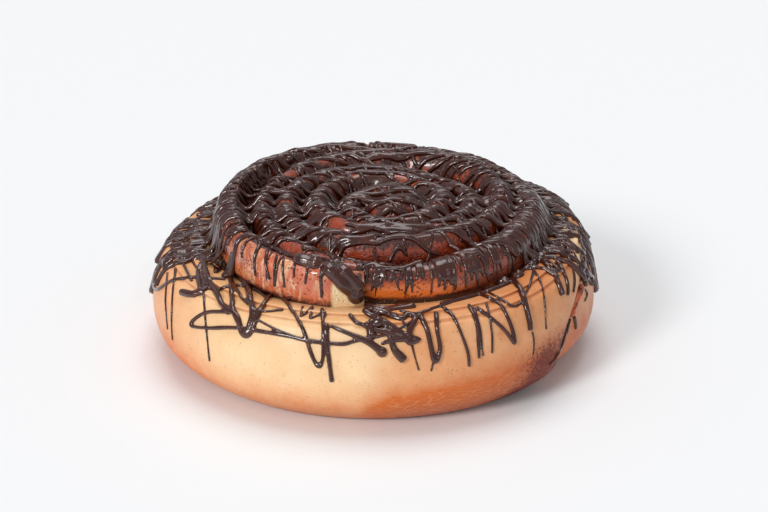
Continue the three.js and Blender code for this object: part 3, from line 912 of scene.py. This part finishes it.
def roll_mesh(roll, patches, gaps):
    """The glazed strip, wound from its outer end to its heart.

    It is bare where the patches are, and painted shade darkens its valleys and the places where turns
    gape.
    """
    turns = [-FACET_TURNS]
    while turns[-1] < roll.turns:
        girth = TAU * max(9 * MM, roll_outer(max(turns[-1], 0), roll))
        turns.append(turns[-1] + 1.5 * MM / girth)
    turns[-1] = roll.turns
    rows = 60

    def place(column, row):
        turn = turns[column]
        share = (row % rows) / (rows - 1)
        radius, height = roll_section(turn, share, roll)
        angle = roll_angle(turn, roll)
        point = on_roll(radius, angle, height, roll)
        top = roll_top(turn, roll)
        side = 1 if share > (INNER_WALL + OUTER_WALL) / 2 else -1
        shown = smooth(height, 42 * MM, 52 * MM)
        point += (around(angle).to_3d() * side + UP) * 0.6 * uneven(point, ROLL_BUMPS) * shown
        depth = max(0, top - height) / roll.crown
        outer_face = turn < 1 and share > 0.5
        # The valley mask is painted shade: down the walls between turns by depth, and low on the
        # outermost turn's face under its bulge.
        valley_shade = 1 - smooth(height, 50.5 * MM, 55 * MM) if outer_face else depth
        facet = smooth(-turn, 0, 0.1 * FACET_TURNS) * (1 - smooth(height, 58 * MM, 63 * MM))
        coral = bell(angle, roll.end_angle - 0.3, 0.5) * (turn < 0.4) * (share > 0.5)
        faces_out = smooth(depth, 0.1, 0.5) * (share > 0.5)
        film = mix(0.62, 0.42 if outer_face else 0.3, faces_out) * (1 - 0.8 * coral)
        for middle, size in patches:
            ragged = size * (1 + 0.35 * lumps(point, 5 * MM, 7))
            bare = 1 - smooth((point - middle).length, 0.5 * ragged, 1.1 * ragged)
            film = min(film, mix(film, 0.05, bare))
            valley_shade *= 1 - 0.8 * bare
        # Painted shade where turns gape.
        for middle, size in gaps:
            dark = 1 - smooth((point - middle).xy.length, 0.9 * size, 2 * size)
            valley_shade = max(valley_shade, dark * smooth(depth, 0.05, 0.3))
        return point, (valley_shade, film, coral, facet)

    return lofted("inner_roll", len(turns) - 1, rows, place, ("valley_shade", "film", "coral", "crumb"))


# Drizzle

MOST_TRIANGLES = 190_000
FINE_GRAIN = 0.42 * MM
BEAD_GRAIN = 0.5 * MM

# Passes over the top: direction, spacing, thickness, and how far aside it begins and ends

PASSES = {
    "across": (0.08, 3.5 * MM, 1.0, (-100 * MM, 100 * MM)),
    "slanting": (-0.7, 8 * MM, 0.9, (-20 * MM, 100 * MM)),
    "lengthwise": (1.75, 14 * MM, 0.8, (-90 * MM, 90 * MM)),
}

# Reach of those strokes in millimetres, least and most: round the bun, and at its front, where
# they end on the roll. The middle of that front is in degrees round

REACH_ROUND, REACH_FRONT, STROKES_FRONT = (86, 117), (66, 71), -92

# Widths in pixels: the least of a traced strand, and the one from which it sinks into the dough

LEAST_WIDTH, SINKS_FROM = 2.2, 7

# Degrees round, from and to which the fringe hangs on the roll and the drips on the ring's wall.
# The fringe is sparse past the third angle, and ends between two heights in millimetres

FRINGE_FROM, FRINGE_TO, FRINGE_SPARSE = -96, 250, 200
FRINGE_ENDS = (60, 51.5)
DRIPS_FROM, DRIPS_TO = 2, 176


class Strand:
    """A strand of chocolate: its points in space and the width at each."""

    def __init__(self, points, widths):
        self.points = points
        self.widths = widths

    @classmethod
    def poured(cls, points, width, rng, thin_ends=0.6):
        """A strand with an uneven width, thicker where it turns and thinner at its ends."""
        phase = rng.uniform(0, 90)
        last = len(points) - 1
        widths = []
        for i, point in enumerate(points):
            swell = 1 + 0.3 * noise.noise(Vector((i * 0.12, phase, 0)))
            before, after = points[max(0, i - 2)], points[min(last, i + 2)]
            path = (point - before).length + (after - point).length
            bend = 1 - (after - before).length / max(path, 1e-9)
            taper = min(1, thin_ends + 0.1 * min(i, last - i))
            widths.append(width * swell * taper * (1 + 0.8 * min(0.5, bend)))
        return cls(points, widths)


class Shoulder:
    """An edge that strands bend down over, with a level plan of the places on and past it."""

    def __init__(self, radius, height, arm):
        self.radius = radius
        self.height = height
        self.arm = arm

    def aim(self, plan):
        """Where a point of the plan is laid from: straight down, and round the shoulder."""
        reach, angle = plan.length, math.atan2(plan.y, plan.x)
        past = (reach - self.radius) / self.arm
        tilt = min(math.pi / 2, max(0, past))
        below = max(0, past - math.pi / 2) * self.arm
        flat = around(angle).to_3d()
        outward = flat * math.sin(tilt) + UP * math.cos(tilt)
        pivot = flat * min(reach, self.radius) + UP * (self.height - below)
        return pivot, outward

    def reach_down_to(self, height):
        """The reach at which the plan comes down to a height on an upright wall."""
        return self.radius + self.arm * math.pi / 2 + self.height - height


def draped(plan, dough, shoulder, lift, stiffness=3):
    """Lays points of a plan on the dough. Stiff strands bridge more of the hollows."""
    start = 95 * MM
    aims = [shoulder.aim(point) for point in plan]
    rest = []
    for pivot, outward in aims:
        hit = dough.ray_cast(pivot + outward * start, -outward, start)
        rest.append(start - hit[3] if hit[0] else rest[-1] if rest else 0)
    rise = list(rest)
    for _ in range(stiffness):
        for i in range(1, len(rise) - 1):
            rise[i] = max(rest[i], (rise[i - 1] + rise[i + 1]) / 2 - 0.05 * MM)
    return [pivot + outward * (height + lift) for (pivot, outward), height in zip(aims, rise)]


def out_of_gaps(points, roll, patches):
    """The runs of a strand that don't hang deep between the turns or cross a bare patch."""
    crest = roll.height - 9 * MM
    face = roll.radius - 3.5 * MM
    runs = [[]]
    for point in points:
        inside = face - left_draw(face, math.atan2(point.y, point.x), roll)
        in_gap = point.z < crest and point.xy.length < inside
        if in_gap or any((point - middle).length < 0.75 * size for middle, size in patches):
            runs.append([])
        else:
            runs[-1].append(point)
    return [run for run in runs if len(run) > 2]


def shaken(plan, size, amount, rng):
    """A plan whose points wander a little aside, as a hand does."""
    phase = rng.uniform(0, 500)
    moved = []
    for i, point in enumerate(plan):
        at = Vector((point.x / size, point.y / size, phase + i * 0.004))
        moved.append(point + Vector((noise.noise(at), noise.noise(at + UP * 50))) * amount)
    return moved


def zigzag(direction, spacing, reach_at, offsets, rng):
    """One long stroke after the other right across the bun, as plans of their corners."""
    along = around(direction)
    aside = Vector((-along.y, along.x))
    plans = []
    side = 1
    offset = offsets[0]
    corners = []
    while offset < offsets[1]:
        row = offset + rng.uniform(-0.35, 0.35) * spacing
        end = along * side
        reach = reach_at(math.atan2(*(end * 80 * MM + aside * row).yx), rng)
        far = math.sqrt(max(1e-6, reach**2 - row**2)) if abs(row) < reach else 0.01
        bow = rng.uniform(-1, 1) * spacing
        turn = 0.5 * spacing * rng.uniform(0.7, 1.5)
        corners.append(aside * (row - bow * 0.4) - end * far * 0.35)
        corners.append(aside * (row + bow) + end * far * 0.4)
        corners.append(aside * row + end * (far - 3 * MM))
        corners.append(aside * (row + turn) + end * far)
        corners.append(aside * (row + 1.9 * turn) + end * (far - 3.5 * MM))
        if len(corners) > 28:
            plans.append(corners)
            corners = corners[-1:]
        side = -side
        offset += spacing * rng.uniform(0.6, 1.4)
    plans.append(corners)
    return plans


def melted(name, strands, grain, material=None, slot="chocolate", node="coiled_dough"):
    """Joins strands to one mesh, so that they melt together where they cross."""
    path = bpy.data.curves.new(name, "CURVE")
    path.dimensions = "3D"
    path.bevel_depth = 0.5
    path.bevel_resolution = 2
    path.use_fill_caps = True
    for strand in strands:
        spline = path.splines.new("POLY")
        spline.points.add(len(strand.points) - 1)
        for target, point, width in zip(spline.points, strand.points, strand.widths):
            target.co = (*point, 1)
            target.radius = width
    sweep = bpy.data.objects.new(name + "_sweep", path)
    tubes = baked_mesh(sweep)
    body = bpy.data.objects.new(name + "_body", tubes)
    remesh = body.modifiers.new("Melt", "REMESH")
    remesh.mode = "VOXEL"
    remesh.voxel_size = grain
    soften = body.modifiers.new("Soften", "SMOOTH")
    soften.factor = 0.5
    soften.iterations = 2
    mesh = baked_mesh(body)
    triangles = 2 * len(mesh.polygons)
    print(name, triangles, "triangles from", len(strands), "strands")
    if triangles > MOST_TRIANGLES:
        body = bpy.data.objects.new(name + "_thick", mesh)
        thin = body.modifiers.new("Thin", "DECIMATE")
        thin.ratio = MOST_TRIANGLES / triangles
        mesh = baked_mesh(body)
    mesh.name = name
    return add_piece(name, mesh, material or bpy.data.materials["set_chocolate"], slot, node)


def baked_mesh(thing):
    """The mesh of an object with its modifiers applied. The object goes."""
    bpy.context.scene.collection.objects.link(thing)
    bpy.context.view_layer.update()
    graph = bpy.context.evaluated_depsgraph_get()
    mesh = bpy.data.meshes.new_from_object(thing.evaluated_get(graph))
    bpy.data.objects.remove(thing)
    return mesh


def dough_surface(*names):
    """These pieces as one tree that rays can be cast at."""
    form = bmesh.new()
    for name in names:
        form.from_mesh(bpy.data.objects[name].data)
    tree = BVHTree.FromBMesh(form)
    form.free()
    return tree


def pouring(scene, draw, *pieces):
    """The drizzle's sizes, its random draws, and the dough that it falls on."""
    drizzle = scene.bun_drizzle
    return drizzle, random.Random(drizzle.seed + draw), dough_surface(*pieces)


def evened(points, passes=2):
    """Points drawn towards the middle of their neighbours."""
    for _ in range(passes):
        points = [
            (points[max(0, i - 1)] + point * 2 + points[min(len(points) - 1, i + 1)]) / 4
            for i, point in enumerate(points)
        ]
    return points


def traced(start_width, end_width, *pixels, dough, stage, rng):
    """A strand laid on the dough where the camera sees these pixels."""
    width_of = MM / stage.pixels_per_mm
    seen = curve_points([Vector(pixel) for pixel in pixels], 2)
    points = []
    for pixel in seen:
        eye, ray = seen_ray(pixel.x, pixel.y, stage)
        place, normal, _, _ = dough.ray_cast(eye, ray)
        if place:
            sunk = 0.3 * max(0, start_width - SINKS_FROM)
            points.append(place + normal * (0.15 * start_width - sunk) * width_of)
    points = evened(points)
    strand = Strand.poured(points, width_of, rng, 1)
    last = max(1, len(points) - 1)
    for i, width in enumerate(strand.widths):
        pixels_wide = max(LEAST_WIDTH, mix(start_width, end_width, i / last))
        from_end = min(1, (2 * min(i, last - i) + 1) * 2 / pixels_wide)
        strand.widths[i] = width * pixels_wide * math.sqrt(1 - (1 - from_end) ** 2)
    return strand


def dropped(width, pixel, dough, stage):
    """A drop of chocolate on the dough, where the camera sees this pixel."""
    eye, ray = seen_ray(*pixel, stage)
    middle, normal, _, _ = dough.ray_cast(eye, ray)
    radius = width / 2 * MM / stage.pixels_per_mm
    down = (normal * normal.z - UP).normalized()
    heights = [i / 6 for i in range(-6, 7)]
    points = [middle + down * radius * height for height in heights]
    return Strand(points, [2 * radius * math.sqrt(1.02 - height**2) for height in heights])


# Stage


def camera_frame(stage):
    """The camera's place and its right, up and forward directions."""
    tilt = stage.elevation
    forward = Vector((0, math.cos(tilt), -math.sin(tilt)))
    up = Vector((0, math.sin(tilt), math.cos(tilt)))
    return -forward * stage.distance, Vector((1, 0, 0)), up, forward


def seen_ray(x, y, stage):
    """From the camera through a pixel of the 768 by 512 picture: start and direction."""
    eye, right, up, forward = camera_frame(stage)
    scale = MM / stage.pixels_per_mm
    middle_x, middle_y = stage.middle
    aside = right * (x - middle_x) * scale + up * (middle_y - y) * scale
    return eye, (forward * stage.distance + aside).normalized()


def places_on_crest(patches, scene):
    """Middle and half width of each patch that the camera sees, at the roll's crest."""
    crest = scene.bun_roll.height - 2 * MM
    places = []
    for half_width, pixel in patches.values():
        eye, ray = seen_ray(*pixel, scene.bun_stage)
        middle = eye + ray * ((eye.z - crest) / -ray.z)
        places.append((middle, half_width * MM / scene.bun_stage.pixels_per_mm))
    return places


def add_light(name, place, angle, power):
    """A far, soft light that looks as wide as this angle from the bun, so that it falls evenly."""
    lamp = bpy.data.lights.new(name, "SUN")
    lamp.angle = math.radians(angle)
    lamp.energy = power
    light = bpy.data.objects.new(name, lamp)
    light.rotation_euler = (-Vector(place)).to_track_quat("-Z", "Y").to_euler()
    bpy.context.scene.collection.objects.link(light)


class SetStage(bpy.types.Operator):
    """Set up the camera, the soft studio light and the pale floor"""

    bl_idname = "bun.set_stage"
    bl_label = "Stage"

    def execute(self, context):
        stage = context.scene.bun_stage
        eye, _, _, forward = camera_frame(stage)
        lens = bpy.data.cameras.new("camera")
        lens.lens = lens.sensor_width * stage.distance / (PICTURE_WIDE * MM / stage.pixels_per_mm)
        lens.shift_x = (PICTURE_WIDE / 2 - stage.middle[0]) / PICTURE_WIDE
        lens.shift_y = (stage.middle[1] - PICTURE_HIGH / 2) / PICTURE_WIDE
        camera = bpy.data.objects.new("camera", lens)
        camera.location = eye
        camera.rotation_euler = forward.to_track_quat("-Z", "Y").to_euler()
        context.scene.collection.objects.link(camera)
        context.scene.camera = camera

        sheet = bmesh.new()
        bmesh.ops.create_grid(sheet, x_segments=2, y_segments=2, size=4)
        mesh = bpy.data.meshes.new("floor")
        sheet.to_mesh(mesh)
        sheet.free()
        floor = add_piece("floor", mesh, floor_finish())

        add_light("top_light", (0.0, 0.35, 1.1), 40, 1.3)
        add_light("left_light", (-0.8, -0.9, 0.7), 16, 1.6)
        add_light("front_light", (0.35, -1.25, 0.75), 6, 0.2)
        world = bpy.data.worlds.new("studio")
        world.use_nodes = True
        sky = world.node_tree.nodes["Background"]
        sky.inputs["Color"].default_value = (0.95, 0.975, 1, 1)
        sky.inputs["Strength"].default_value = 0.38
        context.scene.world = world
        context.scene.view_settings.view_transform = "Standard"
        return {"FINISHED"}


class MakeRing(bpy.types.Operator):
    """Model the outer ring with its lapped seam"""

    bl_idname = "bun.make_ring"
    bl_label = "Outer Ring"

    def execute(self, context):
        mesh = ring_mesh(context.scene.bun_ring, context.scene.bun_roll)
        crust = crust_finish(context.scene.bun_colours)
        add_piece("outer_ring", mesh, crust, "baked_dough", "coiled_dough")
        return {"FINISHED"}


class MakeRoll(bpy.types.Operator):
    """Model the glazed inner roll"""

    bl_idname = "bun.make_roll"
    bl_label = "Inner Roll"

    def execute(self, context):
        glaze = glaze_finish(context.scene.bun_colours)
        patches = places_on_crest(BARE_PATCHES, context.scene)
        gaps = places_on_crest(OPEN_GAPS, context.scene)
        mesh = roll_mesh(context.scene.bun_roll, patches, gaps)
        add_piece("inner_roll", mesh, glaze, "baked_dough", "coiled_dough")
        return {"FINISHED"}


class MakeFillings(bpy.types.Operator):
    """Give the filling between the turns its finish, and model the filling in the seam"""

    bl_idname = "bun.make_fillings"
    bl_label = "Fillings"

    def execute(self, context):
        tones = context.scene.bun_colours
        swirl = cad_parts["swirl_filling"].data
        swirl.materials.clear()
        swirl.materials.append(filling_finish("baked_filling", tones.filling, (0.01, 0.004, 0.003)))
        caramel = filling_finish("caramel_filling", tones.caramel, tones.deep_glaze_and_shade)
        mesh = seam_filling_mesh(context.scene.bun_ring)
        add_piece("seam_caramel", mesh, caramel, "seam_filling", "seam_filling")
        _, rng, dough = pouring(context.scene, 4, "outer_ring")
        stage = context.scene.bun_stage
        bead = [traced(*route, dough=dough, stage=stage, rng=rng) for route in SEAM_BEADS.values()]
        melted("seam_bead", bead, BEAD_GRAIN, caramel, "seam_filling", "seam_filling")
        return {"FINISHED"}


class DrizzleTop(bpy.types.Operator):
    """Drizzle chocolate over the roll in three directions"""

    bl_idname = "bun.drizzle_top"
    bl_label = "Drizzle on Top"

    def execute(self, context):
        drizzle, rng, dough = pouring(context.scene, 0, "outer_ring", "inner_roll")
        chocolate_finish(context.scene.bun_colours)
        wall = Shoulder(drizzle.pivot_radius, drizzle.pivot_height, drizzle.arm)

        def reach_at(angle, rng):
            front = smooth(bell(angle, math.radians(STROKES_FRONT), 1.1), 0.15, 0.6)
            least, most = (mix(*pair, front) for pair in zip(REACH_ROUND, REACH_FRONT))
            return mix(least, most, rng.random() ** 1.6) * MM

        patches = places_on_crest({**BARE_PATCHES, **OPEN_GAPS}, context.scene)
        for name, (direction, spacing, thickness, span) in PASSES.items():
            plans = zigzag(direction, spacing, reach_at, span, rng)
            strands = []
            for corners in plans:
                plan = shaken(curve_points(corners, drizzle.sample), 9 * MM, 3 * MM, rng)
                laid = draped(plan, dough, wall, 0.12 * drizzle.width, 2)
                width = drizzle.width * thickness * rng.uniform(0.7, 1.25)
                for run in out_of_gaps(laid, context.scene.bun_roll, patches):
                    strands.append(Strand.poured(run, width, rng))
            melted("drizzle_" + name, strands, drizzle.grain)
        return {"FINISHED"}


class DrizzleFace(bpy.types.Operator):
    """Hang a fringe of chocolate loops over the roll's outermost turn"""

    bl_idname = "bun.drizzle_face"
    bl_label = "Fringe on the Roll"

    def execute(self, context):
        drizzle, rng, dough = pouring(context.scene, 1, "inner_roll")
        roll = context.scene.bun_roll
        strands = []
        angle = math.radians(FRINGE_FROM)
        while angle < math.radians(FRINGE_TO):
            turn = (roll.end_angle - angle) / TAU % 1
            face = roll_outer(turn, roll)
            face -= left_draw(face, angle, roll)
            shoulder = Shoulder(face - 8 * MM, height=56 * MM, arm=7 * MM)
            sparse = angle > math.radians(FRINGE_SPARSE)
            lean = rng.uniform(-1.2, 1.6) * MM / face
            low = shoulder.reach_down_to(mix(*FRINGE_ENDS, rng.random() ** 1.4) * MM)
            start = face - rng.uniform(9, 13) * MM
            corners = [
                around(angle - lean, start),
                around(angle - 0.6 * lean, face - 3 * MM),
                around(angle + 0.4 * lean, mix(face, low, 0.5)),
                around(angle + lean, low),
            ]
            plan = curve_points(corners, 0.8 * MM)
            laid = draped(plan, dough, shoulder, 0.05 * drizzle.width, 0)
            width = rng.uniform(1.1, 2.1) * MM
            strands.append(Strand.poured(laid, width, rng))
            angle += width * rng.uniform(1, 1.8) / face * (5 if sparse else 1)
        melted("drizzle_face", strands, drizzle.grain)
        return {"FINISHED"}


class DrizzleFront(bpy.types.Operator):
    """Lay the strands and blobs that show on the front where the picture has them"""

    bl_idname = "bun.drizzle_front"
    bl_label = "Drizzle on the Front"

    def execute(self, context):
        _, rng, dough = pouring(context.scene, 2, "outer_ring", "inner_roll")
        stage = context.scene.bun_stage
        strands = []
        for group in (LEFT_STRANDS, FACE_STRANDS, RIGHT_STRANDS):
            strands += [traced(*route, dough=dough, stage=stage, rng=rng) for route in group.values()]
        strands += [dropped(width, pixel, dough, stage) for width, pixel in BLOBS.values()]
        melted("drizzle_front", strands, FINE_GRAIN)
        return {"FINISHED"}


class DrizzleWall(bpy.types.Operator):
    """Hang loops and drips of chocolate on the sides and back of the ring's wall"""

    bl_idname = "bun.drizzle_wall"
    bl_label = "Drizzle on the Wall"

    def execute(self, context):
        drizzle, rng, dough = pouring(context.scene, 3, "outer_ring", "inner_roll")
        wall = Shoulder(drizzle.pivot_radius, drizzle.pivot_height, drizzle.arm)
        strands = []
        reach = 100 * MM
        angle = math.radians(DRIPS_FROM)
        while angle < math.radians(DRIPS_TO):
            half = rng.uniform(1.5, 5) * MM / reach
            start = rng.uniform(80, 88) * MM
            low = reach + 21 * MM * rng.random()
            slant = rng.uniform(-0.03, 0.03)
            corners = [
                around(angle - half + slant, start),
                around(angle - 0.8 * half, (start + low) / 2),
                around(angle - 0.4 * half, low - 4 * MM),
                around(angle, low),
                around(angle + 0.4 * half, low - 4 * MM),
                around(angle + 0.8 * half, (start + low) / 2),
                around(angle + half + slant, start + 2 * MM),
            ]
            if rng.random() < 0.45:
                corners = corners[:4]
            plan = shaken(curve_points(corners, drizzle.sample), 14 * MM, 1.6 * MM, rng)
            laid = draped(plan, dough, wall, 0.12 * drizzle.width, 6)
            strands.append(Strand.poured(laid, rng.uniform(1.3, 2.6) * MM, rng))
            angle += 2 * half + rng.uniform(1, 7) * MM / reach
        melted("drizzle_wall", strands, drizzle.grain)
        return {"FINISHED"}


class BunPanel(bpy.types.Panel):
    """Lists the pieces of the bun in the order in which they are made"""

    bl_idname = "VIEW3D_PT_bun"
    bl_label = "Coiled Sweet Bun"
    bl_space_type = "VIEW_3D"
    bl_region_type = "UI"
    bl_category = "Bun"

    def draw(self, context):
        for operator in OPERATORS:
            self.layout.operator(operator.bl_idname)


OPERATORS = (
    SetStage,
    MakeRing,
    MakeRoll,
    MakeFillings,
    DrizzleTop,
    DrizzleFace,
    DrizzleFront,
    DrizzleWall,
)


def register():
    for name, group in GROUPS.items():
        bpy.utils.register_class(group)
        setattr(bpy.types.Scene, name, PointerProperty(type=group))
    for kind in (*OPERATORS, BunPanel):
        bpy.utils.register_class(kind)


def unregister():
    for kind in (BunPanel, *reversed(OPERATORS)):
        bpy.utils.unregister_class(kind)
    for name, group in reversed(GROUPS.items()):
        delattr(bpy.types.Scene, name)
        bpy.utils.unregister_class(group)


def main():
    register()
    for operator in OPERATORS:
        family, name = operator.bl_idname.split(".")
        getattr(getattr(bpy.ops, family), name)()


if __name__ == "__main__":
    main()
